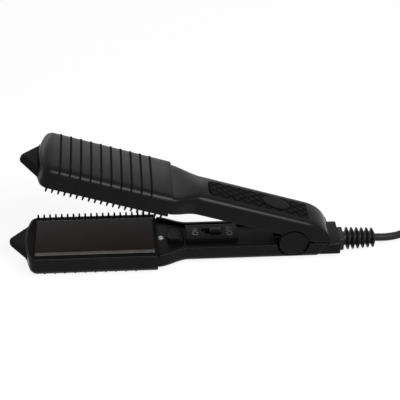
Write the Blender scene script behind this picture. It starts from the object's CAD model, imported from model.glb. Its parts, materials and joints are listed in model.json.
import json
from math import acos, atan, atan2, cos, degrees, floor, hypot, pi, radians, sin, sqrt

import bmesh
import bpy
from mathutils import Matrix, Vector


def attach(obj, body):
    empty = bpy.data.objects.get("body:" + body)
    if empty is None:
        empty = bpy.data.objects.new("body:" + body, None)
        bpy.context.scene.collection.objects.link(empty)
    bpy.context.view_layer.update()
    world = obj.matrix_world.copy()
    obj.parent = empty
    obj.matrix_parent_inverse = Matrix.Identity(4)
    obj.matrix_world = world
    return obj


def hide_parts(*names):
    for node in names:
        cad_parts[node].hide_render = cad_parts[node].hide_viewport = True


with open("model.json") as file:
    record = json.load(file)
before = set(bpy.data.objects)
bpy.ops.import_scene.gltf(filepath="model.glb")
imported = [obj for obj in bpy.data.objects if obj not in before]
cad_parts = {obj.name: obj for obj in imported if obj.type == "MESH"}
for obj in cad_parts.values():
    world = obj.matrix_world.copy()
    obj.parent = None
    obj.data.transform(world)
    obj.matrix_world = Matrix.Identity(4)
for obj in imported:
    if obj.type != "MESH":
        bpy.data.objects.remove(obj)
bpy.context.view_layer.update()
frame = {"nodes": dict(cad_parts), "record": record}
nodes = frame["nodes"]
scene = bpy.context.scene
print("frame loaded:", len(nodes), "nodes")

# Sizes are in millimetres in an arm's own frame: x is 0 at the hinge pin and the nose points to -x,
# z is 0 where the plates meet and grows towards the arm's outer face
arm = {"pinToMiddle": 61.7, "coverHeight": 16.15, "pivotDrop": 2.0, "openAngle": 18.45}
mm = 0.001
weldReach = 1e-7
sharpAngle = 32.0
shrink = Matrix.Scale(mm, 4)
alongX = Matrix.Rotation(pi / 2, 4, "Y")
alongY = Matrix.Rotation(-pi / 2, 4, "X")
upsideDown = Matrix.Rotation(pi, 4, "X")
tablePlace = shrink @ Matrix.Translation((arm["pinToMiddle"], 0, arm["coverHeight"]))
lowerPlace = tablePlace @ upsideDown
upperPlace = (
    shrink
    @ Matrix.Translation((arm["pinToMiddle"], 0, arm["coverHeight"] - arm["pivotDrop"]))
    @ Matrix.Rotation(radians(arm["openAngle"]), 4, "Y")
    @ Matrix.Translation((0, 0, arm["pivotDrop"]))
)
arms = (("upper", upperPlace), ("lower", lowerPlace))


# Camera, solved from the photo's outlines
view = {
    "target": (3.22, 0.0, 40.66),
    "back": (-0.0698, -0.8022, 0.5930),
    "distance": 749.3,
    "roll": 1.242,
    "lens": 108.5,
    "sensor": 36,
    "clip": 0.01,
}


def addObject(name, data):
    thing = bpy.data.objects.new(name, data)
    scene.collection.objects.link(thing)
    return thing


def makeCamera():
    back = Vector(view["back"]).normalized()
    right = Vector((0, 0, 1)).cross(back).normalized()
    up = back.cross(right)
    turn = radians(view["roll"])
    side = right * cos(turn) + up * sin(turn)
    top = up * cos(turn) - right * sin(turn)
    data = bpy.data.cameras.new("photoView")
    data.lens = view["lens"]
    data.sensor_width = view["sensor"]
    data.clip_start = view["clip"]
    camera = addObject("photoView", data)
    place = (Vector(view["target"]) + back * view["distance"]) * mm
    camera.matrix_world = Matrix.Translation(place) @ Matrix((side, top, back)).transposed().to_4x4()
    scene.camera = camera


makeCamera()
print("camera placed")


# Materials: noise grain and bump depth are given in millimetres
def linearColour(code):
    parts = [int(code[i : i + 2], 16) / 255 for i in (1, 3, 5)]
    return [p / 12.92 if p <= 0.04045 else ((p + 0.055) / 1.055) ** 2.4 for p in parts] + [1.0]


def addNode(tree, kind, settings=None, inputs=None, links=None):
    node = tree.nodes.new(kind)
    for key, value in (settings or {}).items():
        setattr(node, key, value)
    for key, value in (inputs or {}).items():
        node.inputs[key].default_value = value
    for key, source in (links or {}).items():
        tree.links.new(source, node.inputs[key])
    return node


def emptyTree(owner):
    owner.use_nodes = True
    owner.node_tree.nodes.clear()
    return owner.node_tree


def newMaterial(name, values):
    material = bpy.data.materials.new(name)
    tree = emptyTree(material)
    shader = addNode(tree, "ShaderNodeBsdfPrincipled", inputs=values)
    addNode(tree, "ShaderNodeOutputMaterial", links={"Surface": shader.outputs[0]})
    coords = addNode(tree, "ShaderNodeTexCoord").outputs["Object"]
    return material, tree, shader, coords


def addNoise(tree, coords, grain, detail=2.0):
    values = {"Scale": 1 / (grain * mm), "Detail": detail}
    return addNode(tree, "ShaderNodeTexNoise", inputs=values, links={"Vector": coords}).outputs["Fac"]


# Where a noise ramp's darker and lighter tones lie
toneStops = (0.3, 0.7)


def addTones(tree, noise, dark, light):
    ramp = addNode(tree, "ShaderNodeValToRGB", links={"Fac": noise})
    for stop, place, tone in zip(ramp.color_ramp.elements, toneStops, (dark, light)):
        stop.position = place
        stop.color = linearColour(tone)
    return ramp.outputs["Color"]


def addBump(tree, shader, noise, depth, strength=1.0):
    values = {"Strength": strength, "Distance": depth * mm}
    bump = addNode(tree, "ShaderNodeBump", inputs=values, links={"Height": noise})
    tree.links.new(bump.outputs["Normal"], shader.inputs["Normal"])


def addRoughness(tree, shader, noise, low, high, start=0.0, end=1.0):
    values = {"From Min": start, "From Max": end, "To Min": low, "To Max": high}
    rough = addNode(tree, "ShaderNodeMapRange", inputs=values, links={"Value": noise})
    tree.links.new(rough.outputs[0], shader.inputs["Roughness"])


plasticLook = {"toneGrain": 9.0, "toneDetail": 3.0, "cloudGrain": 22.0, "ior": 1.49}


def mouldedPlastic(name, dark, light, roughness, span, grain, depth, specular=0.4):
    values = {"Specular IOR Level": specular, "IOR": plasticLook["ior"]}
    material, tree, shader, coords = newMaterial(name, values)
    spots = addNoise(tree, coords, plasticLook["toneGrain"], plasticLook["toneDetail"])
    tone = addTones(tree, spots, dark, light)
    tree.links.new(tone, shader.inputs["Base Color"])
    cloud = addNoise(tree, coords, plasticLook["cloudGrain"])
    addRoughness(tree, shader, cloud, roughness - span, roughness + span, *toneStops)
    addBump(tree, shader, addNoise(tree, coords, grain), depth)
    return material


# Moulded ABS in satin black: a soft sheen along the edges and a very fine spark-eroded grain
shellPlastic = mouldedPlastic("satinBlackAbs", "#0c0c0d", "#0f0f10", 0.25, 0.02, 0.55, 0.005, 0.075)
# Heat-proof PBT of the covers: the same black, with the same sheen
coverPlastic = mouldedPlastic("satinBlackPbt", "#0c0c0c", "#0f0f0f", 0.25, 0.02, 0.5, 0.005, 0.075)
# Etched PBT of the cover's ribs and the plate frames: dull and darker than the cover
ribPlastic = mouldedPlastic("etchedBlackPbt", "#060606", "#090909", 0.75, 0.04, 0.4, 0.012, 0.04)
# Matt moulded nylon of the inner panels: darker and without a clear highlight
innerPlastic = mouldedPlastic("mattBlackNylon", "#0a0a0b", "#0d0d0e", 0.5, 0.04, 0.4, 0.012, 0.045)
# Textured PBT of the nose tips: coarse and dull
nosePlastic = mouldedPlastic("texturedBlackPbt", "#0e0e0f", "#131314", 0.62, 0.05, 0.6, 0.03, 0.03)
# Smooth moulded ABS of the knob and the hinge caps
capPlastic = mouldedPlastic("smoothBlackAbs", "#0c0c0d", "#0f0f10", 0.2, 0.02, 0.7, 0.003, 0.07)
# PVC jacket of the cord and its relief: soft satin with faint drawing marks
cordPvc = mouldedPlastic("blackPvc", "#1d1d1e", "#212122", 0.42, 0.04, 1.2, 0.01, 0.09)
# Rubbed bevel of the plates, where the coat is thin and shines
bevelCoat = mouldedPlastic("rubbedCeramicEdge", "#383431", "#413d3a", 0.28, 0.03, 0.6, 0.003, 0.2)
# Silicone band of the tie
tieSilicone = mouldedPlastic("darkSilicone", "#242426", "#28282a", 0.5, 0.05, 1.0, 0.01, 0.2)
# Sintered alumina of the heaters: chalky white
alumina = mouldedPlastic("sinteredAlumina", "#ddd8cc", "#e8e4da", 0.7, 0.05, 0.3, 0.01, 0.3)
# Pressed mica: tan flakes
mica = mouldedPlastic("pressedMica", "#8f7650", "#b59b6a", 0.45, 0.1, 2.5, 0.02, 0.4)
# Glass-braid sleeve of the inner wires: dull red-brown
sleeve = mouldedPlastic("glassBraidSleeve", "#6e2a24", "#86352d", 0.75, 0.05, 0.5, 0.05, 0.2)
# Smoked polycarbonate of the lamp's lens
milky = mouldedPlastic("smokedPolycarbonate", "#8a8a87", "#969692", 0.25, 0.03, 0.8, 0.002, 0.4)
# Pad-printed marks: flat grey ink
ink = mouldedPlastic("padPrintedInk", "#5c5c5d", "#676768", 0.55, 0.03, 0.4, 0.002, 0.2)


gripLook = {"Roughness": 0.6, "Specular IOR Level": 0.02}
ceramicLook = {"Roughness": 0.34, "Specular IOR Level": 0.03}


def softGrip():
    # Overmoulded TPE: dull grey-black diamonds, near black in the grooves, which an attribute marks
    material, tree, shader, coords = newMaterial("overmouldedTpe", gripLook)
    tone = addTones(tree, addNoise(tree, coords, 3.0, 3.0), "#101011", "#151516")
    hollow = addNode(tree, "ShaderNodeAttribute", {"attribute_name": "hollow"})
    mix = addNode(tree, "ShaderNodeMix", {"data_type": "RGBA"}, {"B": linearColour("#050505")},
                  {"Factor": hollow.outputs["Fac"], "A": tone})
    tree.links.new(mix.outputs["Result"], shader.inputs["Base Color"])
    addBump(tree, shader, addNoise(tree, coords, 0.35), 0.015)
    return material


def ceramicCoat():
    # Sprayed and fired ceramic coat: smooth dark brown with fine specks, a soft mirror
    material, tree, shader, coords = newMaterial("firedCeramicCoat", ceramicLook)
    tone = addTones(tree, addNoise(tree, coords, 14.0), "#120c0a", "#17100d")
    tree.links.new(tone, shader.inputs["Base Color"])
    addBump(tree, shader, addNoise(tree, coords, 0.6, 1.0), 0.004, 0.4)
    return material


def platedMetal(name, dark, light, grain, low, high):
    material, tree, shader, coords = newMaterial(name, {"Metallic": 1.0})
    noise = addNoise(tree, coords, grain, 3.0)
    tree.links.new(addTones(tree, noise, dark, light), shader.inputs["Base Color"])
    addRoughness(tree, shader, noise, low, high)
    return material


gripRubber = softGrip()
ceramic = ceramicCoat()
# Drawn and zinc-plated steel wire and screws
steel = platedMetal("zincPlatedSteel", "#a9abae", "#c2c4c7", 0.8, 0.25, 0.42)
# Nickel-plated brass of the plug's pins: bright
nickel = platedMetal("nickelPlatedBrass", "#c3c0ba", "#d2cfc9", 1.5, 0.16, 0.28)
print("materials ready")


# Mesh helpers
def shadeMesh(mesh, sharp):
    mesh.polygons.foreach_set("use_smooth", [True] * len(mesh.polygons))
    mesh.set_sharp_from_angle(angle=radians(sharp))


def weldMesh(mesh):
    work = bmesh.new()
    work.from_mesh(mesh)
    bmesh.ops.remove_doubles(work, verts=work.verts, dist=weldReach)
    bmesh.ops.recalc_face_normals(work, faces=work.faces)
    work.to_mesh(mesh)
    work.free()


def bakedMesh(thing):
    graph = bpy.context.evaluated_depsgraph_get()
    return bpy.data.meshes.new_from_object(thing.evaluated_get(graph))


def finishMesh(name, mesh, material, sharp=sharpAngle):
    weldMesh(mesh)
    shadeMesh(mesh, sharp)
    mesh.materials.clear()
    mesh.materials.append(material)
    mesh.update()
    return addObject(name, mesh)


def newPiece(name, shape, place, material, sharp=sharpAngle):
    verts, faces = shape
    mesh = bpy.data.meshes.new(name)
    mesh.from_pydata([place @ Vector(v) for v in verts], [], faces)
    return finishMesh(name, mesh, material, sharp)


def settle(piece, body, slotName, *standsFor):
    if standsFor:
        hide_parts(*standsFor)
    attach(piece, body)
    return piece


# A boolean leaves hairline seams: they are welded, and small holes that stay open are closed
seam = {"weld": 0.003, "thin": 0.0005, "sides": 6}


def carve(piece, shapes, place, operation="DIFFERENCE", sharp=sharpAngle):
    others = [newPiece("cutter", shape, place, innerPlastic) for shape in shapes]
    for other in others:
        change = piece.modifiers.new("carve", "BOOLEAN")
        change.operation = operation
        change.solver = "EXACT"
        change.object = other
    mesh, old = bakedMesh(piece), piece.data
    piece.modifiers.clear()
    piece.data = mesh
    for spare in [old] + [other.data for other in others]:
        bpy.data.meshes.remove(spare)
    work = bmesh.new()
    work.from_mesh(mesh)
    bmesh.ops.remove_doubles(work, verts=work.verts, dist=seam["weld"] * mm)
    bmesh.ops.dissolve_degenerate(work, edges=work.edges, dist=seam["thin"] * mm)
    bmesh.ops.holes_fill(work, edges=[edge for edge in work.edges if edge.is_boundary], sides=seam["sides"])
    work.to_mesh(mesh)
    work.free()
    shadeMesh(mesh, sharp)
    return piece


def joinMeshes(parts):
    verts, faces = [], []
    for v, f in parts:
        base = len(verts)
        verts += v
        faces += [[base + i for i in face] for face in f]
    return verts, faces


def quarter(steps):
    # sines and cosines through a right angle, for rounded edges
    return [(sin(a), cos(a)) for a in (radians(90 * k / steps) for k in range(steps + 1))]


def roundRect(x0, x1, y0, y1, radius, steps=6):
    points = []
    for cx, cy, start in ((x1 - radius, y1 - radius, 0), (x0 + radius, y1 - radius, 90),
                          (x0 + radius, y0 + radius, 180), (x1 - radius, y0 + radius, 270)):
        for i in range(steps + 1):
            a = radians(start + 90 * i / steps)
            points.append((cx + radius * cos(a), cy + radius * sin(a)))
    return points


def insetOutline(points, distance):
    # moves each point of a counter-clockwise outline inwards
    out = []
    for i, (x, y) in enumerate(points):
        ax, ay = points[i - 1]
        bx, by = points[(i + 1) % len(points)]
        first = Vector((x - ax, y - ay))
        second = Vector((bx - x, by - y))
        if first.length < 1e-9:
            first = second
        if second.length < 1e-9:
            second = first
        n1 = Vector((-first.y, first.x)).normalized()
        n2 = Vector((-second.y, second.x)).normalized()
        middle = (n1 + n2).normalized()
        reach = distance / max(0.5, middle.dot(n1))
        out.append((x + middle.x * reach, y + middle.y * reach))
    return out


def bandFaces(count, k, n):
    # quads between ring k and ring n
    return [[k * count + i, k * count + (i + 1) % count, n * count + (i + 1) % count, n * count + i]
            for i in range(count)]


def ringStack(rings):
    # closed solid through rings of equal length, each a list of 3-D points
    count = len(rings[0])
    faces = [list(range(count))[::-1], [(len(rings) - 1) * count + i for i in range(count)]]
    for k in range(len(rings) - 1):
        faces += bandFaces(count, k, k + 1)
    return [p for ring in rings for p in ring], faces


def boxShape(x0, x1, y0, y1, z0, z1):
    return ringStack([[(x0, y0, z), (x1, y0, z), (x1, y1, z), (x0, y1, z)] for z in (z0, z1)])


def roundedPrism(outline, z0, z1, lowEdge=0.25, highEdge=0.25, steps=3, topSteps=None):
    # z0 and z1 are levels, or functions that give the level at an x
    low, high = (z if callable(z) else lambda x, z=z: z for z in (z0, z1))
    rings = []
    for s, c in quarter(steps):
        ring = insetOutline(outline, lowEdge * (1 - s))
        rings.append([(x, y, low(x) + lowEdge * (1 - c)) for x, y in ring])
    for s, c in quarter(topSteps or steps):
        ring = insetOutline(outline, highEdge * (1 - c))
        rings.append([(x, y, high(x) - highEdge * (1 - s)) for x, y in ring])
    return ringStack(rings)


def lathe(profile, steps=72):
    # profile is (radius, height) from the axis out and back, round the z axis
    verts, faces, rows = [], [], []
    for radius, height in profile:
        if radius < 1e-6:
            rows.append([len(verts)] * steps)
            verts.append((0, 0, height))
        else:
            rows.append(list(range(len(verts), len(verts) + steps)))
            angles = [2 * pi * i / steps for i in range(steps)]
            verts += [(radius * cos(a), radius * sin(a), height) for a in angles]
    for low, high in zip(rows, rows[1:]):
        for i in range(steps):
            j = (i + 1) % steps
            face = [low[i], low[j], high[j], high[i]]
            face = [v for k, v in enumerate(face) if v not in face[:k]]
            if len(face) > 2:
                faces.append(face)
    return verts, faces


def rod(radius, length, steps):
    return lathe([(0, 0), (radius, 0), (radius, length), (0, length)], steps)


def at(x, y, z):
    return Matrix.Translation((x, y, z))


def moved(shape, x, y, z, turn=Matrix.Identity(4)):
    verts, faces = shape
    place = at(x, y, z) @ turn
    return [tuple(place @ Vector(v)) for v in verts], faces


def mirrored(shape):
    verts, faces = shape
    return [(x, -y, z) for x, y, z in verts], [face[::-1] for face in faces]


def smoothStep(t):
    t = min(1.0, max(0.0, t))
    return t * t * (3 - 2 * t)


def crownSlope(crown, flat):
    # degrees from level at the end of a shallow arch
    return degrees(atan(2 * crown / flat))


# One node tree repeats a small shape along a line
def repeatTree():
    tree = bpy.data.node_groups.new("repeatAlongLine", "GeometryNodeTree")
    face = tree.interface
    face.new_socket("Geometry", in_out="INPUT", socket_type="NodeSocketGeometry")
    for label, kind in (("Shape", "Object"), ("Count", "Int"), ("Start", "Vector"), ("Pitch", "Vector"),
                        ("Growth", "Float"), ("Finish", "Material")):
        face.new_socket(label, in_out="INPUT", socket_type="NodeSocket" + kind)
    face.new_socket("Geometry", in_out="OUTPUT", socket_type="NodeSocketGeometry")
    given = addNode(tree, "NodeGroupInput").outputs
    line = addNode(tree, "GeometryNodeMeshLine",
                   links={"Count": given["Count"], "Start Location": given["Start"],
                          "Offset": given["Pitch"]})
    points = addNode(tree, "GeometryNodeMeshToPoints", links={"Mesh": line.outputs[0]})
    shape = addNode(tree, "GeometryNodeObjectInfo", links={"Object": given["Shape"]})
    index = addNode(tree, "GeometryNodeInputIndex")
    grow = addNode(tree, "ShaderNodeMath", {"operation": "MULTIPLY_ADD"}, {2: 1.0},
                   {0: index.outputs[0], 1: given["Growth"]}).outputs[0]
    size = addNode(tree, "ShaderNodeCombineXYZ", inputs={"X": 1.0}, links={"Y": grow, "Z": grow})
    copies = addNode(tree, "GeometryNodeInstanceOnPoints",
                     links={"Points": points.outputs[0], "Instance": shape.outputs["Geometry"],
                            "Scale": size.outputs[0]})
    real = addNode(tree, "GeometryNodeRealizeInstances", links={"Geometry": copies.outputs[0]})
    done = addNode(tree, "GeometryNodeSetMaterial",
                   links={"Geometry": real.outputs[0], "Material": given["Finish"]})
    addNode(tree, "NodeGroupOutput", links={0: done.outputs[0]})
    return tree


repeater = repeatTree()


def repeatShape(name, shape, place, material, count, start, pitch, growth=0.0, sharp=sharpAngle):
    verts, faces = shape
    seedMesh = bpy.data.meshes.new(name + "Seed")
    seedMesh.from_pydata(verts, [], faces)
    seed = addObject(name + "Seed", seedMesh)
    carrier = addObject(name, bpy.data.meshes.new(name + "Carrier"))
    change = carrier.modifiers.new("repeat", "NODES")
    change.node_group = repeater
    values = {"Shape": seed, "Count": count, "Start": start, "Pitch": pitch, "Growth": growth,
              "Finish": material}
    for item in repeater.interface.items_tree:
        if item.item_type == "SOCKET" and item.in_out == "INPUT" and item.name in values:
            change[item.identifier] = values[item.name]
    mesh = bakedMesh(carrier)
    for old in (carrier, seed):
        bpy.data.objects.remove(old)
    mesh.transform(place)
    return finishMesh(name, mesh, material, sharp)


# Free cord: a straight exit, a hank of flat loops in layers and a tail up to the plug. In a turn of the
# hank, straight is the share of half a straight run and bend is the share of one end
cordShape = {
    "diameter": 5.0, "exitX": 116.3, "exitZ": 6.75, "exitDrop": 0.2,
    "hankX": 210.0, "hankZ": 3.45, "run": 77.5, "foldRadius": 15.0, "step": 5.75, "layer": 5.5, "waist": 6.0,
    "loops": 6, "loopsPerLayer": 1.5, "startTurn": -0.13, "straight": 0.13, "bend": 0.24, "turnStep": 0.0125,
    "plugGap": 20.0, "plugY": 2.0, "plugLift": 0.3,
    "tail": ((-31, 22.4, 0.4), (-27, 21.2, 1.4), (-23, 19.2, 2.8), (-19, 16.6, 4.2), (-15, 13.6, 5.2),
             (-11, 10.6, 5.4), (-7, 7.9, 5.4), (-3, 5.7, 5.4), (1, 4.1, 5.6), (5, 3, 6.4), (9, 2.3, 7.8)),
}
plugShape = {
    "width": 35.3, "thickness": 13.7, "length": 36.0, "neckWidth": 9.2, "neckHeight": 8.4, "roundness": 0.86,
    "pinLength": 19.0, "pinPitch": 18.6, "pinRoot": 8.1, "rootRadius": 1.62,
    "widens": 0.12, "thickens": 0.05, "spread": 0.6, "stations": 30, "frontEdge": 1.2, "rearEdge": 0.8,
    "ridges": 5, "ridgeX": 18.5, "ridgePitch": 2.6, "ridgeWidth": 1.0, "ridgeHalf": 7.5, "ridgeSunk": 0.35,
}
hankTop = cordShape["hankZ"] + 3 * cordShape["layer"] + cordShape["diameter"] / 2


def hankPoint(turn):
    c = cordShape
    straight, bend, layers = c["straight"], c["bend"], c["loopsPerLayer"]
    f = turn - floor(turn)
    if f < straight or f > 1 - straight:
        quarterTurn = 0
    elif f < 0.5 - straight:
        quarterTurn = 1
    elif f < 0.5 + straight:
        quarterTurn = 2
    else:
        quarterTurn = 3
    t = turn % (2 * layers)
    radius = c["foldRadius"] + c["step"] * abs(t - layers)
    if turn < 0:
        radius = c["foldRadius"] + c["step"] * layers - c["step"] * turn
    g = f - 1 if f > 1 - straight else f
    along = g / straight if quarterTurn == 0 else (0.5 - f) / straight if quarterTurn == 2 else 0
    draw = c["waist"] * (0.5 + 0.5 * cos(pi * along))
    if quarterTurn == 0:
        x, y = c["run"] / 2 * along, radius - draw
    elif quarterTurn == 2:
        x, y = c["run"] / 2 * along, -radius + draw
    else:
        a = 90 - 180 * (f - straight) / bend if quarterTurn == 1 else -90 - 180 * (f - 0.5 - straight) / bend
        x = (1 if quarterTurn == 1 else -1) * c["run"] / 2 + radius * cos(radians(a))
        y = radius * sin(radians(a))
    height = c["layer"] * sum(smoothStep((turn - s * layers) / bend + 0.5) for s in (1, 2, 3))
    return Vector((c["hankX"] + x, y, c["hankZ"] + height))


def bendPoints(a, b, count):
    # an S of two equal arcs from a to b, both ends along x
    run, side = b.x - a.x, b.y - a.y
    radius = (run * run + side * side) / (4 * side)
    turn = 2 * atan(side / run)
    points = []
    for i in range(2 * count + 1):
        t = i / count
        v = 2 - t if t > 1 else t
        x, y = radius * sin(turn * v), radius * (1 - cos(turn * v))
        drop = (b.z - a.z) * smoothStep((run - x if t > 1 else x) / run)
        points.append(Vector((b.x - x, b.y - y, a.z + drop) if t > 1 else (a.x + x, a.y + y, a.z + drop)))
    return points


def cordRoute():
    c = cordShape
    lead = Vector((c["diameter"], 0, 0))
    start, end = hankPoint(c["startTurn"]), hankPoint(c["loops"] + c["startTurn"])
    plugZ = hankTop + c["plugLift"] + plugShape["thickness"] / 2
    plug = Vector((c["hankX"] + c["plugGap"], c["plugY"], plugZ))
    points = [Vector((c["exitX"], 0, c["exitZ"]))]
    points += bendPoints(points[0] + lead - Vector((0, 0, c["exitDrop"])), start - lead, 8)
    points += [start]
    count = int(round(c["loops"] / c["turnStep"]))
    points += [hankPoint(c["startTurn"] + c["turnStep"] * i) for i in range(1, count)]
    points += [end, end + lead]
    points += [Vector((c["hankX"], 0, end.z)) + Vector(place) for place in c["tail"]]
    points += [plug - lead, plug]
    return points, plug


route, plugStart = cordRoute()
routeLength = sum((b - a).length for a, b in zip(route, route[1:]))
print("cord route", len(route), "points", round(routeLength, 1), "mm")


def makeCord():
    curve = bpy.data.curves.new("mainsCord", "CURVE")
    curve.dimensions = "3D"
    spline = curve.splines.new("POLY")
    spline.points.add(len(route) - 1)
    for point, place in zip(spline.points, route):
        point.co = (*(place * mm), 1.0)
    curve.bevel_depth = cordShape["diameter"] / 2 * mm
    curve.bevel_resolution = 4
    curve.use_fill_caps = True
    curve.materials.append(cordPvc)
    return addObject("mainsCord", curve)


mainsCord = makeCord()


# Plug: a moulded body that widens from the cord, finger ridges on both faces, and two pins
def makePlug():
    p = plugShape
    neck, tall, stations = p["neckWidth"] / 2, p["neckHeight"] / 2, p["stations"]
    rings = []
    for i in range(stations + 1):
        t = i / stations
        half = neck + (p["width"] / 2 - neck) * smoothStep((t - p["widens"]) / p["spread"])
        high = tall + (p["thickness"] / 2 - tall) * smoothStep((t - p["thickens"]) / p["spread"])
        edge = 0.0
        if i < 4:
            edge = p["frontEdge"] * (1 - sqrt(1 - (1 - i / 4) ** 2))
        if i > stations - 3:
            edge = p["rearEdge"] * (1 - sqrt(1 - ((i - stations + 3) / 3) ** 2))
        corner = min(half, high) * p["roundness"] - edge * 0.5
        outline = roundRect(-half + edge, half - edge, -high + edge, high - edge, corner, 7)
        rings.append([(p["length"] * t, y, z) for y, z in outline])
    place = shrink @ Matrix.Translation(plugStart)
    body = newPiece("plugMoulding", ringStack(rings), place, cordPvc, 40)
    hole = rod(p["rootRadius"], 12, 32)
    sides = (-p["pinPitch"] / 2, p["pinPitch"] / 2)
    carve(body, [moved(hole, p["length"] - p["pinRoot"], y, 0, alongX) for y in sides], place, sharp=40)
    ridge = roundedPrism(roundRect(-p["ridgeWidth"] / 2, p["ridgeWidth"] / 2, -p["ridgeHalf"], p["ridgeHalf"],
                                   0.45, 4), 0, 0.7, 0.0, 0.3)
    ridges = [moved(ridge, p["ridgeX"] + k * p["ridgePitch"], 0, p["thickness"] / 2 - p["ridgeSunk"])
              for k in range(p["ridges"])]
    ridges = [moved(shape, 0, 0, 0, upsideDown) for shape in ridges] + ridges
    return body, newPiece("plugRidges", joinMeshes(ridges), place, cordPvc, 40)


def plugPair(name, profile, material):
    p = plugShape
    place = shrink @ Matrix.Translation(plugStart + Vector((p["length"], 0, 0)))
    shape = moved(lathe(profile, 40), 0, 0, 0, alongX)
    return repeatShape(name, shape, place, material, 2, (0, -p["pinPitch"] / 2, 0), (0, p["pinPitch"], 0))


tip = plugShape["pinLength"]
plugBody, plugRidges = makePlug()
plugPins = plugPair("plugPins", [
    (0, -8), (1.6, -8), (1.6, -0.02), (2.0, 0.0), (2.0, 10.0), (1.9, 10.15), (1.9, 10.4), (1.98, 10.5),
    (1.98, tip - 1.6), (1.75, tip - 0.7), (1.2, tip - 0.15), (0.6, tip), (0, tip)], nickel)
pinSleeves = plugPair("pinSleeves", [
    (2.0, 0.02), (2.03, 0.05), (2.03, 9.6), (1.95, 9.9), (1.9, 9.9), (1.9, 0.02), (2.0, 0.02)], cordPvc)


# Tie: one flat band round the hank and the tail
tieShape = {
    "half": 18.125, "corner": 2.7, "foot": 0.2, "shoulder": 2.6, "tailY": 5.4, "tailGap": 0.5, "setback": 2.5,
    "skin": ((-3.5, 0.12), (-3.5, 0.55), (-3.2, 0.85), (0, 0.9), (3.2, 0.85), (3.5, 0.55), (3.5, 0.12)),
    "inside": 3.3,
}


def convexOutline(points):
    points = sorted(set(points))

    def leftTurn(a, b, p):
        return (b[0] - a[0]) * (p[1] - a[1]) - (b[1] - a[1]) * (p[0] - a[0]) > 0

    def chain(items):
        out = []
        for p in items:
            while len(out) > 1 and not leftTurn(out[-2], out[-1], p):
                out.pop()
            out.append(p)
        return out[:-1]

    return chain(points) + chain(points[::-1])


def makeTie():
    t, c = tieShape, cordShape
    levels = (c["hankZ"] + t["foot"], hankTop - t["shoulder"])
    circles = [(side * t["half"], z, t["corner"]) for side in (-1, 1) for z in levels]
    thick = c["diameter"] / 2
    circles.append((t["tailY"], hankTop + c["plugLift"] + thick, thick + t["tailGap"]))
    angles = [radians(5 * k) for k in range(72)]
    inner = convexOutline([(round(y + r * cos(a), 5), round(z + r * sin(a), 5))
                           for y, z, r in circles for a in angles])
    rings = [[(x, y, z) for y, z in insetOutline(inner, -grow)] for x, grow in t["skin"]]
    rings += [[(x, y, z) for y, z in inner] for x in (t["inside"], -t["inside"])]
    faces = []
    for k in range(len(rings)):
        faces += bandFaces(len(inner), k, (k + 1) % len(rings))
    place = shrink @ Matrix.Translation((c["hankX"] - t["setback"], 0, 0))
    return newPiece("hankTie", ([p for ring in rings for p in ring], faces), place, tieSilicone, 40)


hankTie = makeTie()
settle(plugBody, "lower_arm", "cord_jacket", "plug_body")
settle(plugRidges, "lower_arm", "cord_jacket")
settle(plugPins, "lower_arm", "plug_metal", "plug_pins")
settle(pinSleeves, "lower_arm", "cord_jacket")
settle(hankTie, "lower_arm", "tie_band", "cord_tie")
settle(mainsCord, "lower_arm", "cord_jacket", "cord_run", "cord_hank", "cord_tail")
print("cord, plug and tie made")


# Comb covers: a rounded shell with ten bands over it and twenty teeth along its near side
cover = {
    "front": -168.4, "rear": -85.6, "halfWidth": 22.3, "top": 15.1, "rim": 2.0, "rimEdge": 0.5, "edge": 5.5,
    "wall": 1.8, "crown": 0.3, "bow": 60.0, "corner": 5.4, "rearSoft": 0.4, "rearDip": 0.28,
    "sideLevels": (4.0, 6.0, 8.0), "across": 14, "edgeShrink": 0.65,
    "ribFirst": -99.4, "ribPitch": 6.29, "ribCount": 10, "ribWidth": 1.15, "ribHeight": 0.75, "ribEnd": 6.0,
    "toothFirst": -160.6, "toothPitch": 3.75, "toothCount": 20, "toothY": -21.4, "toothTip": -0.8,
    "windowHalf": 14.5, "windowLow": 2.4, "windowHigh": 8.9,
}


def coverOutline():
    # half outline from the rear of the near side to the middle of the front, with plan normals
    c = cover
    side = c["halfWidth"] - c["corner"]
    xs = [c["rear"] - d for d in (0, 0.1, 0.22, c["rearSoft"])]
    xs += [c["rear"] - c["rearSoft"] - 6.0 * i for i in range(1, 12)]
    centre = c["front"] + c["bow"]
    cornerX = centre - sqrt((c["bow"] - c["corner"]) ** 2 - side**2)
    xs.append((xs[-1] + cornerX) / 2)
    points = [((x, -c["halfWidth"]), (0.0, -1.0)) for x in xs]
    lean = atan2(side, centre - cornerX)
    for i in range(13):
        a = -pi / 2 - (pi / 2 - lean) * i / 12
        n = (cos(a), sin(a))
        points.append(((cornerX + c["corner"] * n[0], -side + c["corner"] * n[1]), n))
    for i in range(1, 9):
        a = pi + lean * (1 - i / 8)
        n = (cos(a), sin(a))
        points.append(((centre + c["bow"] * n[0], c["bow"] * n[1]), n))
    return points


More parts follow.
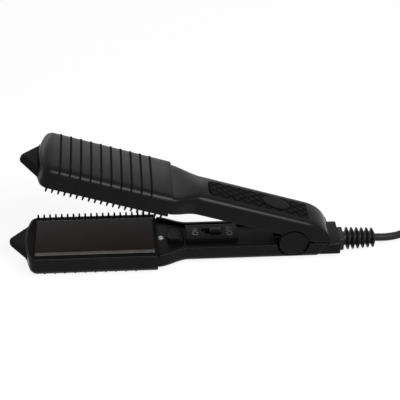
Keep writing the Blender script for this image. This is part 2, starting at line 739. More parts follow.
def coverShape():
    c = cover
    half = coverOutline()
    full = half + [((p[0], -p[1]), (n[0], -n[1])) for p, n in half[-2::-1]]
    count, across = len(full), c["across"]
    flat = c["halfWidth"] - c["edge"]
    slope = crownSlope(c["crown"], flat)

    def skin(inset, outside):
        edge, top = c["edge"] - inset * c["edgeShrink"], c["top"] - inset
        rim = c["rimEdge"] if outside else -c["rimEdge"]
        profile = [(c["rim"] + c["rimEdge"] * (1 - v), inset + rim * (1 - u), 0.0) for u, v in quarter(3)]
        profile += [(z, inset, 0.0) for z in c["sideLevels"]]
        for k in range(13):
            a = radians((90 - slope) * k / 12)
            profile.append((top - edge + edge * sin(a), inset + edge * (1 - cos(a)), a))
        rows = []
        for z, shift, a in profile:
            row = []
            for (x, y), (nx, ny) in full:
                lift = 0.0
                near = (c["rear"] - x) / c["rearSoft"]
                if outside and near < 1:
                    lift -= c["rearDip"] * (1 - sqrt(max(0.0, 1 - (1 - near) ** 2)))
                out = lift * cos(a) - shift
                row.append((x + nx * out, y + ny * out, z + lift * sin(a)))
            rows.append(row)
        strips = []
        for j in range(count // 2 + 1):
            a, b = rows[-1][j], rows[-1][count - 1 - j]
            strip = [a]
            if j < count // 2:
                reach = min(1.0, abs(a[1]) / flat) ** 2
                for m in range(1, across):
                    y = a[1] + (b[1] - a[1]) * m / across
                    u = y / max(0.001, abs(a[1]))
                    strip.append((a[0], y, a[2] + c["crown"] * (1 - u * u) * reach))
                strip.append(b)
            strips.append(strip)
        return rows, strips

    verts, faces, index = [], [], {}

    def number(p):
        key = tuple(round(v, 5) for v in p)
        if key not in index:
            index[key] = len(verts)
            verts.append(p)
        return index[key]

    def quad(*points):
        face = list(dict.fromkeys(number(p) for p in points))
        if len(face) > 2:
            faces.append(face)

    outer, outerTop = skin(0.0, True)
    inner, innerTop = skin(c["wall"], False)
    for rows, strips in ((outer, outerTop), (inner, innerTop)):
        for low, high in zip(rows, rows[1:]):
            for i in range(count - 1):
                quad(low[i], low[i + 1], high[i + 1], high[i])
        for s, t in zip(strips, strips[1:]):
            for m in range(across):
                quad(s[m], s[m + 1], t[min(m + 1, len(t) - 1)], t[min(m, len(t) - 1)])
    for i in range(count - 1):
        quad(outer[0][i], outer[0][i + 1], inner[0][i + 1], inner[0][i])
    for end in (0, -1):
        for k in range(len(outer) - 1):
            quad(outer[k][end], outer[k + 1][end], inner[k + 1][end], inner[k][end])
    for m in range(across):
        quad(outerTop[0][m], outerTop[0][m + 1], innerTop[0][m + 1], innerTop[0][m])
    return verts, faces


def ribShape():
    # one band over the cover, from side to side, as a row of low domed sections
    c = cover
    flat = c["halfWidth"] - c["edge"]
    slope = crownSlope(c["crown"], flat)
    path = [(c["halfWidth"], c["ribEnd"], 0.0, -0.1)]
    for k in range(13):
        a = radians((90 - slope) * k / 12)
        height = c["ribHeight"] * smoothStep((k - 4) / 8) - 0.02 if k > 4 else -0.1
        path.append((flat + c["edge"] * cos(a), c["top"] - c["edge"] + c["edge"] * sin(a), a, height))
    for k in range(1, 8):
        u = 1 - k / 7
        path.append((flat * u, c["top"] + c["crown"] * (1 - u * u), radians(90 - slope * u), c["ribHeight"]))
    path = [(-y, z, pi - a, h) for y, z, a, h in path] + path[-2::-1]
    half = c["ribWidth"] / 2
    rings = []
    for y, z, a, h in path:
        section = [(half + 0.05, -0.25), (half, h * 0.35), (half - 0.14, h * 0.86), (half - 0.34, h)]
        section = [(-x, out) for x, out in section] + section[::-1]
        rings.append([(x, y + out * cos(a), z + out * sin(a)) for x, out in section])
    return ringStack(rings)


def toothShape():
    # a blunt tapered peg: level, half length, half thickness
    rim, tip = cover["rim"], cover["toothTip"]
    levels = ((rim + 0.5, 0.74, 0.6), (rim - 0.2, 0.7, 0.58), (0.8, 0.62, 0.54), (-0.1, 0.54, 0.5),
              (tip + 0.2, 0.46, 0.42), (tip, 0.3, 0.26))
    return ringStack([[(x, y, z) for x, y in roundRect(-half, half, -thick, thick, min(half, thick) * 0.6, 2)]
                      for z, half, thick in levels])


def makeCover(side, place):
    c = cover
    name, body = side + "CombCover", side + "_arm"
    piece = newPiece(name, coverShape(), place, coverPlastic, 30)
    window = boxShape(c["front"] - 2, c["front"] + 6, -c["windowHalf"], c["windowHalf"],
                      c["windowLow"], c["windowHigh"])
    carve(piece, [window], place, sharp=30)
    settle(piece, body, "shell_gloss", side + "_comb_cover")
    ribs = repeatShape(name + "Ribs", ribShape(), place, ribPlastic, c["ribCount"], (c["ribFirst"], 0, 0),
                       (-c["ribPitch"], 0, 0), sharp=50)
    settle(ribs, body, "inner_matte")
    teeth = repeatShape(name + "Teeth", toothShape(), place, coverPlastic, c["toothCount"],
                        (c["toothFirst"], c["toothY"], 0), (c["toothPitch"], 0, 0), sharp=50)
    settle(teeth, body, "shell_gloss")


for side, place in arms:
    makeCover(side, place)
print("comb covers made")


# Nose tips: straight sides that run into a round tip, with a neck inside the cover
nose = {
    "tip": -178.0, "base": -166.7, "overlap": 1.1, "inside": -162.4, "halfWidth": 14.3,
    "low": 2.2, "high": 8.6, "tipRadius": 4.1, "tipLow": 1.9, "tipHigh": 6.6, "lowEdge": 1.1, "highEdge": 2.3,
    "neckLow": 2.6, "neckHigh": 8.5, "neckInset": 0.1, "neckStart": 2.0,
}


def noseShape():
    n = nose
    base, half, radius = n["base"], n["halfWidth"], n["tipRadius"]
    centre = n["tip"] + radius
    touch = atan2(half, base - centre) + acos(radius / hypot(base - centre, half))
    endX, endY = centre + radius * cos(touch), radius * sin(touch)
    far = [(base + (endX - base) * k / 5, half + (endY - half) * k / 5) for k in range(5)]
    for k in range(11):
        a = touch + (pi - touch) * k / 10
        far.append((centre + radius * cos(a), radius * sin(a)))
    outline = far + [(x, -y) for x, y in far[-2::-1]]
    outline += [(base + n["overlap"], -half), (base + n["overlap"], half)]

    def level(start, end):
        return lambda x: start + (end - start) * min(1.0, max(0.0, (base - x) / (base - n["tip"])))

    body = roundedPrism(outline, level(n["low"], n["tipLow"]), level(n["high"], n["tipHigh"]),
                        n["lowEdge"], n["highEdge"], 3, 5)
    inset = half - n["neckInset"]
    neck = boxShape(cover["front"] + n["neckStart"], n["inside"], -inset, inset, n["neckLow"], n["neckHigh"])
    return joinMeshes([body, neck])


for side, place in arms:
    settle(newPiece(side + "Nose", noseShape(), place, nosePlastic, 30),
           side + "_arm", "shell_gloss", side + "_nose")
print("nose tips made")


# Handle shells: a wide head under the cover, a neck, and the handle with its rounded tail
shell = {
    "front": -161.1, "neckStart": -85.7, "neckLength": 20.0, "riseLength": 21.0,
    "headHalf": 20.3, "headTop": 13.4, "headRim": 4.4, "headEdge": 3.5,
    "handleHalf": 13.7, "upperTop": 15.6, "lowerTop": 14.6, "rim": 2.6, "rimEdge": 0.6, "wall": 1.8,
    "edge": 5.0,
    "tail": 22.4, "tailRound": 18.2, "tailCorner": 2.5, "lean": 7.0, "leanLift": 0.6, "crown": 0.45,
    "earRadius": 9.1, "earInner": 11.3, "earOuter": 12.5, "pocketRadius": 10.2,
    "screws": (-74.0, -33.0), "screwHole": 2.2, "screwSunk": 1.2, "pinBore": 2.05,
    "outletHole": (7.4, 60, -10.3, 10.3, 4.1, 12.9), "edgeShrink": 0.8, "tailEase": 0.3, "tailLeast": 0.012,
    "tailSquare": 0.985,
}


def neckAt(x):
    return smoothStep((x - shell["neckStart"]) / shell["neckLength"])


def halfWidthAt(x):
    s = shell
    half = s["headHalf"] + (s["handleHalf"] - s["headHalf"]) * neckAt(x)
    corner = s["tailCorner"]
    d = min(max(0.0, x - (s["tail"] - corner)), s["tailSquare"] * corner)
    return half - (corner - sqrt(max(0.0, corner**2 - d**2)))


def topAt(x, high, rounded):
    s = shell
    body = s["headTop"] + (high - s["headTop"]) * smoothStep((x - s["neckStart"]) / s["riseLength"])
    if not rounded:
        return body
    d = max(0.0, x - (s["tail"] - s["tailRound"]))
    share = min(1.0, d / (s["tailRound"] + s["tailEase"]))
    return s["rim"] + (body - s["rim"]) * sqrt(max(s["tailLeast"], 1 - share**2))


def shellSection(x, high, rounded, inset, rim, softRim):
    half = halfWidthAt(x) - inset
    top = max(rim + (0.5 if inset else 1.2), topAt(x, high, rounded) - inset)
    edge = shell["headEdge"] + (shell["edge"] - shell["headEdge"]) * neckAt(x) - inset * shell["edgeShrink"]
    edge = max(0.5, min(edge, top - rim - 0.35, half - 1))
    crown = 0.0 if inset else min(shell["crown"] * neckAt(x), (top - rim) * 0.08)
    slope = crownSlope(crown, max(1.0, half - edge))
    side = [(-half + softRim * (1 - s), rim + softRim * (1 - c)) for s, c in quarter(3)]
    side += [(-half, rim + softRim + (top - crown - edge - rim - softRim) * k / 3) for k in (1, 2)]
    for k in range(11):
        a = radians((90 - slope) * k / 10)
        side.append((-(half - edge) - edge * cos(a), top - crown - edge + edge * sin(a)))
    flat, level = abs(side[-1][0]), side[-1][1]
    middle = [(y, level + crown * (1 - (y / flat) ** 2)) for y in [flat * (k / 5 - 1) for k in range(1, 10)]]
    return side + middle + [(-y, z) for y, z in side[::-1]]


def shellStations(x0, x1):
    s = shell
    xs = [x0, s["neckStart"] - 0.6]
    xs += [s["neckStart"] + (s["neckLength"] + 6) * i / 24 for i in range(25)]
    base = s["tail"] - s["tailRound"]
    xs += [xs[-1] + (base - xs[-1]) * i / 18 for i in range(1, 19)]
    xs += [base + (x1 - base) * sin(radians(90 * i / 26)) for i in range(1, 27)]
    return xs


def leaned(x, z, lean):
    # the lower tail's end leans in towards its bottom
    s = shell
    return x - lean * max(0.0, z - s["rim"] - s["leanLift"]) / (s["lowerTop"] + 0.4 - s["rim"])


def shellShape(high, upper):
    s = shell
    rake = radians(arm["openAngle"])

    def point(x, y, z):
        along = 0.0 if upper else max(0.0, (x - s["tail"] + s["tailRound"]) / s["tailRound"])
        return leaned(x, z, s["lean"] * along), y, z

    def rows(inset, x0, x1):
        out = []
        for x in shellStations(x0, x1):
            rim = s["headRim"] if x < s["neckStart"] + 0.05 else s["rim"]
            if upper:
                # the tail's underside lies level when the arm stands open
                rim = max(rim, -arm["pivotDrop"] + (0.2 + sin(rake) * x) / cos(rake))
            section = shellSection(x, high, upper, inset, rim, 0.0 if inset else s["rimEdge"])
            out.append([point(x, y, z) for y, z in section])
        return out

    outer = rows(0.0, s["front"], s["tail"])
    inner = rows(s["wall"], s["front"] + s["wall"], s["tail"] - s["wall"] * (0.6 if upper else 1.0))
    count = len(outer[0])
    verts = [p for row in outer + inner for p in row]
    base = len(outer) * count
    faces = []
    for offset, total in ((0, len(outer)), (base, len(inner))):
        for k in range(total - 1):
            for i in range(count - 1):
                a = offset + k * count + i
                faces.append([a, a + 1, a + 1 + count, a + count])
        for k in (0, total - 1):
            faces.append([offset + k * count + i for i in range(count)])
    for k in range(len(outer) - 1):
        for i in (0, count - 1):
            a = k * count + i
            faces.append([a, a + count, base + a + count, base + a])
    for k in (0, len(outer) - 1):
        a = k * count
        faces.append([a, a + count - 1, base + a + count - 1, base + a])
    return verts, faces


def bothSides(shape):
    return [shape, mirrored(shape)]


def crossRod(radius, y0, y1, z, steps=96):
    return moved(rod(radius, y1 - y0, steps), 0, y0, z, alongY)


def earShape():
    # round ear with straight sides that run up into the shell's rim
    s = shell
    high = s["pocketRadius"] - arm["pivotDrop"] + 1
    outline = [(s["earRadius"], high), (-s["earRadius"], high)]
    for k in range(49):
        a = pi + pi * k / 48
        outline.append((s["earRadius"] * cos(a), -arm["pivotDrop"] + s["earRadius"] * sin(a)))
    verts, faces = roundedPrism(outline, s["earInner"], s["earOuter"] - 0.02, 0.1, 0.2)
    return [(x, across, up) for x, up, across in verts], faces


# Grip pad: a soft inlay with diamonds between grooves, and an oval badge
grip = {
    "front": -62.4, "rear": 4.2, "halfWidth": 7.6, "corner": 4.25, "base": 15.0, "top": 16.5,
    "edgeLevel": 15.3, "pocketGap": 0.05, "pocketDepth": 0.6, "columns": 340, "rows": 84, "crown": 0.35,
    "flatHalf": 6.2,
    "latticeX": 7.2, "latticeY": 5.07, "grooveWidth": 1.15, "grooveDepth": 0.75, "endLine": 0.7,
    "badgeX": -17.3, "badgeLength": 18.6, "badgeWidth": 11.6, "badgeRing": 0.75, "badgeFlat": 0.9,
    "badgeTop": 16.42, "badgeCrown": 0.08,
    "grooveFlat": 0.1, "endSoft": 0.3, "endFall": 0.5, "ringSoft": 0.05, "ringEdge": 1.04,
}


def gripHalf(x, grow=0.0):
    corner = grip["corner"] + grow
    half = grip["halfWidth"] + grow
    d = grip["front"] - grow + corner - x
    return half - corner + sqrt(max(0.0, corner**2 - d * d)) if d > 0 else half


def gripOutline(grow):
    corner = grip["corner"] + grow
    xs = [grip["front"] - grow + corner * (1 - c) for _, c in quarter(12)]
    xs += [grip["rear"] + grow]
    points = [(x, -gripHalf(x, grow)) for x in xs] + [(x, gripHalf(x, grow)) for x in xs[::-1]]
    return [p for i, p in enumerate(points)
            if i == 0 or abs(p[0] - points[i - 1][0]) + abs(p[1] - points[i - 1][1]) > 1e-6]


def makeUpperShell():
    s = shell
    piece = newPiece("upperShell", shellShape(s["upperTop"], True), upperPlace, shellPlastic)
    low = -arm["pivotDrop"]
    pocket = [[(x, y, z) for x, y in gripOutline(grip["pocketGap"])]
              for z in (s["upperTop"] - grip["pocketDepth"], 18)]
    rings = bothSides(crossRod(s["pocketRadius"], s["earOuter"], 20, low))
    carve(piece, [ringStack(pocket)] + rings, upperPlace)
    settle(piece, "upper_arm", "shell_gloss", "upper_shell")
    ears = newPiece("upperEars", joinMeshes(bothSides(earShape())), upperPlace, shellPlastic)
    carve(ears, [crossRod(s["pinBore"], -20, 20, low, 40)], upperPlace)
    settle(ears, "upper_arm", "shell_gloss")


def makeLowerShell():
    s = shell
    piece = newPiece("lowerShell", shellShape(s["lowerTop"], False), lowerPlace, shellPlastic)
    cuts = bothSides(crossRod(s["pocketRadius"], s["earInner"] - 0.2, 30, arm["pivotDrop"]))
    cuts.append(boxShape(*s["outletHole"]))
    cuts += [moved(rod(s["screwHole"], 6, 40), x, 0, s["lowerTop"] - s["screwSunk"]) for x in s["screws"]]
    carve(piece, cuts, lowerPlace)
    settle(piece, "lower_arm", "shell_gloss", "lower_shell")


makeUpperShell()
makeLowerShell()
print("handle shells made")


def grooveAt(x, y):
    # 1 in the middle of a groove, 0 on a diamond
    g = grip
    best = 9.0
    for sign in (-1, 1):
        u = ((x - g["front"]) / g["latticeX"] + sign * y / g["latticeY"]) % 1.0
        best = min(best, min(u, 1 - u) / hypot(1 / g["latticeX"], 1 / g["latticeY"]))
    mark = 1 - smoothStep((best - g["grooveFlat"]) / (g["grooveWidth"] / 2))
    ends = min(x - g["front"], g["rear"] - x)
    dx, dy = g["front"] + g["corner"] - x, abs(y) - g["halfWidth"] + g["corner"]
    if dx > 0 and dy > 0:
        ends = min(ends, g["corner"] - hypot(dx, dy))
    mark = max(mark, 1 - smoothStep((ends - g["endLine"]) / g["endSoft"]))
    around = hypot((x - g["badgeX"]) / (g["badgeLength"] / 2 + g["badgeRing"]),
                   y / (g["badgeWidth"] / 2 + g["badgeRing"]))
    return max(mark, smoothStep((g["ringEdge"] - around) / g["ringSoft"]))


def gripShape():
    g = grip
    columns, rows = g["columns"], g["rows"]
    count = rows + 1
    verts, faces = [], []
    for i in range(columns + 1):
        x = g["front"] + (g["rear"] - g["front"]) * i / columns
        half = max(gripHalf(x), g["halfWidth"] - g["corner"])
        end = 1 - smoothStep(min(x - g["front"], g["rear"] - x) / g["endFall"])
        for j in range(count):
            y = half * (2 * j / rows - 1)
            side = smoothStep((abs(y) - g["flatHalf"]) / (g["halfWidth"] - g["flatHalf"]))
            z = g["top"] - g["crown"] * (y / g["halfWidth"]) ** 2 - g["grooveDepth"] * grooveAt(x, y)
            verts.append((x, y, z + (min(z, g["edgeLevel"]) - z) * max(side, end)))
    for i in range(columns):
        for a in range(i * count, i * count + rows):
            faces.append([a, a + 1, a + 1 + count, a + count])
    # skirt down to the pocket's floor and a flat underside
    rim = list(range(count)) + [i * count + rows for i in range(1, columns + 1)]
    rim += [columns * count + j for j in range(rows - 1, -1, -1)]
    rim += [i * count for i in range(columns - 1, 0, -1)]
    low = len(verts)
    verts += [(verts[i][0], verts[i][1], g["base"] + 0.02) for i in rim]
    for k in range(len(rim)):
        n = (k + 1) % len(rim)
        faces.append([rim[k], rim[n], low + n, low + k])
    faces.append([low + k for k in range(len(rim))])
    return verts, faces


def makeGrip():
    pad = newPiece("gripPad", gripShape(), upperPlace, gripRubber, 50)
    marks = pad.data.attributes.new("hollow", "FLOAT", "POINT")
    back = upperPlace.inverted()
    places = [back @ v.co for v in pad.data.vertices]
    marks.data.foreach_set("value", [grooveAt(q.x, q.y) for q in places])
    settle(pad, "upper_arm", "grip_rubber", "grip_pad")


def badgeShape():
    g = grip
    steps = ((0.0, 15.6), (0.0, 16.05), (0.12, 16.28), (0.4, 16.4), (g["badgeFlat"], g["badgeTop"]))
    ovals = [(g["badgeLength"] / 2 - d, g["badgeWidth"] / 2 - d, z) for d, z in steps]
    long, wide, top = ovals[-1]
    for share in (0.75, 0.5, 0.25):
        ovals.append((long * share, wide * share, top + g["badgeCrown"] * (1 - share**2)))
    angles = [2 * pi * i / 72 for i in range(72)]
    return ringStack([[(g["badgeX"] + rx * cos(a), ry * sin(a), z) for a in angles] for rx, ry, z in ovals])


makeGrip()
settle(newPiece("gripBadge", badgeShape(), upperPlace, innerPlastic),
       "upper_arm", "inner_matte", "grip_badge")
print("grip pad made")


# Plates: a flat face between bevelled lips, over a narrower back
plate = {
    "front": -161.7, "rear": -87.2, "face": 0.3, "faceHalf": 15.9, "lipHalf": 17.9, "lip": 1.7,
    "backHalf": 15.1, "backInset": 0.8, "back": 4.2,
}


def makePlate(side, place):
    p = plate
    face, lip = p["face"], p["lip"]
    # level, half width, inset at the ends, corner radius
    levels = ((face, p["faceHalf"] - 0.25, 0.85, 0.8), (face + 0.04, p["faceHalf"], 0.6, 0.9),
              (face + 0.12, p["faceHalf"] + 0.25, 0.45, 1.0), (lip - 0.3, p["lipHalf"] - 0.12, 0.05, 1.0),
              (lip - 0.18, p["lipHalf"], 0.0, 1.0), (lip, p["lipHalf"], 0.0, 1.0))
    rings = [[(x, y, z) for x, y in roundRect(p["front"] + inset, p["rear"] - inset, -half, half, radius)]
             for z, half, inset, radius in levels]
    piece = newPiece(side + "Plate", ringStack(rings), place, ceramic, 25)
    outline = roundRect(p["front"] + p["backInset"], p["rear"] - p["backInset"],
                        -p["backHalf"], p["backHalf"], 0.6, 4)
    carve(piece, [roundedPrism(outline, lip - 0.3, p["back"], 0.01, 0.2)], place, "UNION", 25)
    piece.data.materials.clear()
    for material in (ceramic, bevelCoat):
        piece.data.materials.append(material)
    back = place.inverted()
    for polygon in piece.data.polygons:
        spot = back @ polygon.center
        bevel = abs(spot.y) > p["faceHalf"] + 0.1 and face + 0.1 < spot.z < lip - 0.2
        polygon.material_index = 1 if bevel else 0
    settle(piece, side + "_arm", "ceramic_coat", side + "_plate")


for side, place in arms:
    makePlate(side, place)
print("plates made")


# Inner covers, and the lower one's switch block, ramp and lens
inner = {
    "front": -85.5, "rear": -10.6, "level": 4.5, "thickness": 1.5, "gap": 2.0,
    "blockFront": -67.2, "blockRear": -34.5, "blockHalf": 7.4, "blockTop": 0.3,
    "slotLength": 12.6, "slotHalf": 2.8, "slotDepth": 0.8, "switchX": -50.85,
    "stemSlotHalf": 4.3, "stemGap": 1.4,
    "rampFront": -79.0, "rampHalf": 6.3, "rampLength": 10.6, "rampCorner": 2.0,
    "rampLevel": 0.36, "rampSunk": 0.3, "rampFoot": 0.7, "rampStart": 0.1,
    "lensX": -83.0, "lensHole": 1.98,
    "knobShift": 2.5, "knobLength": 7.0, "knobWidth": 5.0, "knobHeight": 1.7, "knobGrooves": 5,
}


def panelShape():
    i = inner
    xs = [i["front"] + (i["rear"] - i["front"]) * k / 40 for k in range(41)]
    near = [(x, -(halfWidthAt(x) - i["gap"])) for x in xs]
    outline = near + [(x, -y) for x, y in near[::-1]]
    return roundedPrism(outline, i["level"], i["level"] + i["thickness"], 0.2, 0.1)


def rampShape():
    # a slide with parallel sides, round front corners and a thin raised edge along each side
    i = inner
    start, low = i["blockTop"] + i["rampStart"], i["level"] + 0.3
    rings = []
    for k in range(31):
        t = k / 30
        x = i["rampFront"] + i["rampLength"] * t
        fall = 1 - cos(radians(90 * max(0.0, (t - i["rampLevel"]) / (1 - i["rampLevel"]))))
        z = start + (i["level"] - i["rampFoot"] - start) * fall
        d = max(0.0, i["rampCorner"] - i["rampLength"] * t)
        half = i["rampHalf"] - i["rampCorner"] + sqrt(max(0.01, i["rampCorner"] ** 2 - d * d))
        sunk = i["rampSunk"] * smoothStep(t * 12) * (1 - smoothStep((t - 0.75) / 0.2))
        side = [(half, low), (half, z + 0.2), (half - 0.1, z), (half - 0.5, z), (half - 0.75, z + sunk)]
        rings.append([(x, -y, h) for y, h in side] + [(x, 0, z + sunk)] + [(x, y, h) for y, h in side[::-1]])
    return ringStack(rings)


def makeLowerInner():
    i = inner
    middle, top, slot = i["switchX"], i["blockTop"], i["slotLength"] / 2
    panel = newPiece("lowerInnerPanel", panelShape(), lowerPlace, innerPlastic)
    outline = roundRect(i["blockFront"], i["blockRear"], -i["blockHalf"], i["blockHalf"], 0.9)
    block = roundedPrism(outline, top, i["level"] + 0.4, 0.35, 0.02, 4)
    carve(panel, [block, rampShape()], lowerPlace, "UNION", 35)
    outline = roundRect(middle - slot, middle + slot, -i["slotHalf"], i["slotHalf"], 0.8, 5)
    cuts = [
        roundedPrism(outline, -2, top + i["slotDepth"], 0.01, 0.2),
        boxShape(middle - i["stemSlotHalf"], middle + i["stemSlotHalf"], -i["stemGap"], i["stemGap"], 0, 3.4),
        moved(rod(i["lensHole"], 8, 40), i["lensX"], 0, 2),
    ]
    carve(panel, cuts, lowerPlace, sharp=35)
    settle(panel, "lower_arm", "inner_matte", "lower_inner_cover")


def makeKnob():
    i = inner
    centre = i["switchX"] + i["knobShift"]
    long, wide = i["knobLength"] / 2, i["knobWidth"] / 2
    base = i["blockTop"] + i["slotDepth"] - 0.15
    outline = roundRect(centre - long, centre + long, -wide, wide, 0.7, 5)
    knob = newPiece("switchKnob", roundedPrism(outline, base - i["knobHeight"], base, 0.35, 0.05, 4),
                    lowerPlace, capPlastic)
    stem = boxShape(centre - 1.5, centre + 1.5, -1.1, 1.1, base - 0.3, base + 3.2)
    carve(knob, [stem], lowerPlace, "UNION")
    grooves = []
    for k in range(i["knobGrooves"]):
        x = centre - 2.0 + k
        tooth = [(x - 0.3, base - 1.9), (x, base - 1.35), (x + 0.3, base - 1.9)]
        grooves.append(ringStack([[(u, y, z) for u, z in tooth] for y in (-3, 3)]))
    carve(knob, grooves, lowerPlace)
    settle(knob, "slider", "inner_matte", "switch_knob")


def makeLens():
    # a domed face in the panel's hole, with a flange and a hollow behind it
    profile = [(0, -0.95), (0.7, -0.9), (1.3, -0.7), (1.7, -0.38), (1.88, -0.05), (1.9, 1.6), (2.5, 1.6),
               (2.5, 2.4), (1.3, 2.4), (1.3, 0.7), (0, 0.7)]
    shape = lathe([(radius, inner["level"] + z) for radius, z in profile], 48)
    lens = newPiece("lampLens", moved(shape, inner["lensX"], 0, 0), lowerPlace, milky)
    settle(lens, "lower_arm", "lamp_white", "indicator_lens")


makeLowerInner()
settle(newPiece("upperInnerPanel", panelShape(), upperPlace, innerPlastic),
       "upper_arm", "inner_matte", "upper_inner_cover")
makeKnob()
makeLens()


# ON and OFF run across the arm, printed on the switch block
marks = (
    {"text": "ON", "x0": -63.1, "x1": -59.4, "y0": -3.4, "y1": 3.4},
    {"text": "OFF", "x0": -41.4, "x1": -37.7, "y0": -4.6, "y1": 4.6},
)


def makeMark(mark):
    curve = bpy.data.curves.new("mark" + mark["text"], "FONT")
    curve.body = mark["text"]
    curve.extrude = 0.5
    letters = addObject("mark" + mark["text"], curve)
    mesh = bakedMesh(letters)
    bpy.data.objects.remove(letters)
    xs = [v.co.x for v in mesh.vertices]
    ys = [v.co.y for v in mesh.vertices]
    for v in mesh.vertices:
        # the words read upwards in the view: along +Y, with their tops towards the nose
        along = (v.co.x - min(xs)) / (max(xs) - min(xs))
        tall = (v.co.y - min(ys)) / (max(ys) - min(ys))
        x = mark["x1"] + (mark["x0"] - mark["x1"]) * tall
        y = mark["y0"] + (mark["y1"] - mark["y0"]) * along
        z = -inner["blockTop"] + (0.03 if v.co.z > 0 else -0.02)
        v.co = tablePlace @ Vector((x, y, z))
    settle(finishMesh("mark" + mark["text"], mesh, ink), "lower_arm", "inner_matte")


for mark in marks:
    makeMark(mark)
print("inner covers, switch and lamp made")


# Hinge caps: a rounded ring round a shallow dish
cap = {"radius": 8.9, "start": 12.6, "thickness": 1.0, "ring": 0.55, "dish": 0.3}


def capShape():
    r, t, dip = cap["radius"], cap["thickness"], cap["dish"]
    brim = r - cap["ring"]
    profile = [(0, 0), (r - 0.15, 0), (r, 0.15), (r, t - 0.3), (r - 0.08, t - 0.1), (r - 0.25, t),
               (brim + 0.1, t), (brim - 0.05, t - 0.08), (brim - 0.25, t - dip), (brim - 0.6, t - dip - 0.03),
               (r * 0.5, t - dip + 0.02), (0, t - dip + 0.04)]
    return moved(lathe(profile, 96), 0, cap["start"], -arm["pivotDrop"], alongY)


for name, shape in zip(("Near", "Far"), bothSides(capShape())[::-1]):
    settle(newPiece("hingeCap" + name, shape, upperPlace, capPlastic),
           "upper_arm", "shell_gloss", "hinge_cap_" + name.lower())
print("hinge caps made")


# Cord outlet: a block behind the tail, with a seat inside it
outlet = {
    "front": 8.0, "rear": 30.8, "half": 12.2, "seatHalf": 10.2, "low": 4.2, "high": 12.8, "axis": 9.4,
    "corner": 1.3, "edge": 0.45, "gap": 0.15, "bore": 3.05, "flangeBore": 3.22, "flangeDepth": 5.2,
}


def outletBlock(half, x0, leans):
    o = outlet
    steps = [(x0, o["edge"] * (1 - s), o["edge"] * (1 - c), shell["lean"] if leans else 0.0)
             for s, c in quarter(4)]
    steps += [(o["rear"], o["edge"] * (1 - c), -o["edge"] * (1 - s), 0.0) for s, c in quarter(4)]
    rings = []
    for x, inset, shift, lean in steps:
        outline = roundRect(-half + inset, half - inset, o["low"] + inset, o["high"] - inset, o["corner"])
        rings.append([(leaned(x + shift, z, lean), y, z) for y, z in outline])
    return ringStack(rings)


def makeOutlet():
    o = outlet
    block = outletBlock(o["half"], shell["tail"] - 0.2 + o["gap"], True)
    piece = newPiece("cordOutlet", block, lowerPlace, shellPlastic)
    carve(piece, [outletBlock(o["seatHalf"], o["front"], False)], lowerPlace, "UNION")
    bores = ((o["bore"], 40, o["front"] - 2), (o["flangeBore"], 2, o["rear"] - o["flangeDepth"]))
    carve(piece, [moved(rod(radius, length, 48), x, 0, o["axis"], alongX) for radius, length, x in bores],
          lowerPlace)
    settle(piece, "lower_arm", "shell_gloss", "cord_outlet")


# Strain relief: a square collar, a tapered core and oval fins that shrink towards the end
relief = {
    "start": 25.8, "collar": 30.9, "collarEnd": 34.0, "collarHalf": 7.0, "collarLow": 4.7, "collarHigh": 14.4,
    "collarCorner": 1.6, "end": 54.6, "axis": 9.4, "coreRadius": 4.5, "coreEnd": 3.9, "coreSteps": 24,
    "bore": 2.55, "flange": 3.2, "flangeLength": 1.6, "stem": 3.0,
    "finFirst": 36.9, "finPitch": 3.26, "finCount": 6, "finRadius": 6.55, "finEnd": 5.7, "finOval": 1.28,
    "finFoot": 4.0, "finHalf": 1.35,
}


def makeRelief():
    r = relief
    root, steps = r["collar"] + 0.2, r["coreSteps"]
    flangeEnd = r["start"] + r["flangeLength"]
    profile = [(r["bore"], r["start"]), (r["flange"], r["start"]), (r["flange"], flangeEnd),
               (r["stem"], flangeEnd), (r["stem"], root), (r["coreRadius"], root)]
    for k in range(steps + 1):
        x = r["collarEnd"] + (r["end"] - 0.3 - r["collarEnd"]) * k / steps
        profile.append((r["coreRadius"] + (r["coreEnd"] - r["coreRadius"]) * k / steps, x))
    profile += [(r["coreEnd"] - 0.25, r["end"]), (r["bore"], r["end"]), (r["bore"], r["start"])]
    core = moved(lathe(profile, 64), 0, 0, r["axis"], alongX)
    rings = []
    for x, inset in ((r["collar"], 0.15), (r["collar"] + 0.15, 0.0), (r["collarEnd"] - 0.4, 0.0),
                     (r["collarEnd"] - 0.12, 0.12), (r["collarEnd"], 0.4)):
        half = r["collarHalf"] - inset
        outline = roundRect(-half, half, r["collarLow"] + inset, r["collarHigh"] - inset, r["collarCorner"])
        rings.append([(x, y, z) for y, z in outline])
    core = newPiece("strainRelief", joinMeshes([core, ringStack(rings)]), lowerPlace, cordPvc)
    settle(core, "lower_arm", "cord_jacket", "strain_relief")
    # half of a fin's profile, from its rim to its root
    rim = r["finRadius"]
    blade = [(rim, 0.1), (rim - 0.2, 0.28), (rim - 0.6, 0.42), (r["finFoot"] + 0.6, 1.05),
             (r["finFoot"], r["finHalf"]), (0, r["finHalf"])]
    fin = lathe([(radius, -z) for radius, z in blade[::-1]] + blade, 64)
    fin = moved(fin, 0, 0, 0, Matrix.Scale(r["finOval"], 4, (0, 1, 0)) @ alongX)
    growth = (r["finEnd"] / rim - 1) / (r["finCount"] - 1)
    place = lowerPlace @ Matrix.Translation((0, 0, r["axis"]))
    fins = repeatShape("reliefFins", fin, place, cordPvc, r["finCount"], (r["finFirst"], 0, 0),
                       (r["finPitch"], 0, 0), growth)
    settle(fins, "lower_arm", "cord_jacket")


makeOutlet()
makeRelief()
print("outlet and strain relief made")


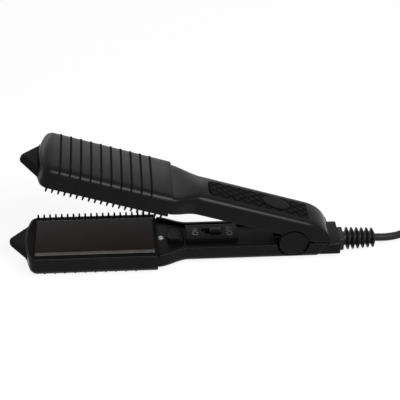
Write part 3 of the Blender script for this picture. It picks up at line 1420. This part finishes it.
# Finishes of the CAD nodes, by slot
finishes = {
    "inner_matte": innerPlastic, "heater_ceramic": alumina, "mica": mica, "steel": steel,
    "switch_case": innerPlastic, "lamp_white": milky, "wire_sleeve": sleeve, "cord_jacket": cordPvc,
    "shell_gloss": shellPlastic, "ceramic_coat": ceramic, "grip_rubber": gripRubber, "tie_band": tieSilicone,
    "plug_metal": nickel,
}
for part in frame["record"]["subparts"]:
    for slot in nodes[part["node"]].material_slots:
        slot.link = "OBJECT"
        slot.material = ribPlastic if "plate_frame" in part["node"] else finishes[part["material_slot"]]
print("materials given to the CAD nodes")


# Floor, world and lamps: a pale table that the camera sees as nearly white
stage = {"floor": 6.0, "floorColour": "#f4f4f4", "whiteShare": 0.9, "skyStrength": 0.14}
white = (1, 1, 1, 1)
lamps = (
    {"name": "topBox", "place": (0.0, -0.2, 1.1), "aim": (0.0, 0.0, 0.03), "size": (1.0, 0.6), "power": 0.9},
    {"name": "backBox", "place": (-0.15, 1.0, 0.46), "aim": (0.0, 0.0, 0.04), "size": (1.3, 0.36),
     "power": 3.7},
    {"name": "keyBox", "place": (0.46, -0.41, 0.75), "aim": (-0.03, -0.02, 0.045), "size": (0.5, 0.28),
     "power": 8.6},
    {"name": "rimBox", "place": (0.05, -0.59, 0.78), "aim": (0.0, -0.02, 0.02), "size": (0.5, 0.12),
     "power": 3.2},
)


def seenRays(tree):
    # 1 where the camera sees a surface, also by mirror or through something clear
    rays = addNode(tree, "ShaderNodeLightPath").outputs
    seen = rays["Is Camera Ray"]
    for kind in ("Is Glossy Ray", "Is Transmission Ray"):
        both = addNode(tree, "ShaderNodeMath", {"operation": "MAXIMUM"}, links={0: seen, 1: rays[kind]})
        seen = both.outputs[0]
    return seen


def makeFloor():
    half = stage["floor"] / 2
    mesh = bpy.data.meshes.new("floor")
    corners = [(-half, -half, 0), (half, -half, 0), (half, half, 0), (-half, half, 0)]
    mesh.from_pydata(corners, [], [(0, 1, 2, 3)])
    ground = addObject("floor", mesh)
    material = bpy.data.materials.new("paleFloor")
    tree = emptyTree(material)
    share = addNode(tree, "ShaderNodeMath", {"operation": "MULTIPLY"}, {1: stage["whiteShare"]},
                    {0: seenRays(tree)})
    matt = addNode(tree, "ShaderNodeBsdfDiffuse", inputs={"Color": linearColour(stage["floorColour"])})
    glow = addNode(tree, "ShaderNodeEmission", inputs={"Color": white, "Strength": 1.0})
    mix = addNode(tree, "ShaderNodeMixShader",
                  links={0: share.outputs[0], 1: matt.outputs[0], 2: glow.outputs[0]})
    addNode(tree, "ShaderNodeOutputMaterial", links={"Surface": mix.outputs[0]})
    mesh.materials.append(material)


def makeWorld():
    world = bpy.data.worlds.new("studio")
    scene.world = world
    tree = emptyTree(world)
    soft = addNode(tree, "ShaderNodeBackground", inputs={"Color": white, "Strength": stage["skyStrength"]})
    clear = addNode(tree, "ShaderNodeBackground", inputs={"Color": white, "Strength": 1.0})
    mix = addNode(tree, "ShaderNodeMixShader",
                  links={0: seenRays(tree), 1: soft.outputs[0], 2: clear.outputs[0]})
    addNode(tree, "ShaderNodeOutputWorld", links={"Surface": mix.outputs[0]})


def makeLamps():
    for lamp in lamps:
        data = bpy.data.lights.new(lamp["name"], "AREA")
        data.shape = "RECTANGLE"
        data.size, data.size_y = lamp["size"]
        data.energy = lamp["power"]
        light = addObject(lamp["name"], data)
        light.location = lamp["place"]
        aim = Vector(lamp["aim"]) - Vector(lamp["place"])
        light.rotation_euler = aim.to_track_quat("-Z", "Y").to_euler()


makeFloor()
makeWorld()
makeLamps()
scene.view_settings.view_transform = "Standard"
print("floor, world and lamps set")
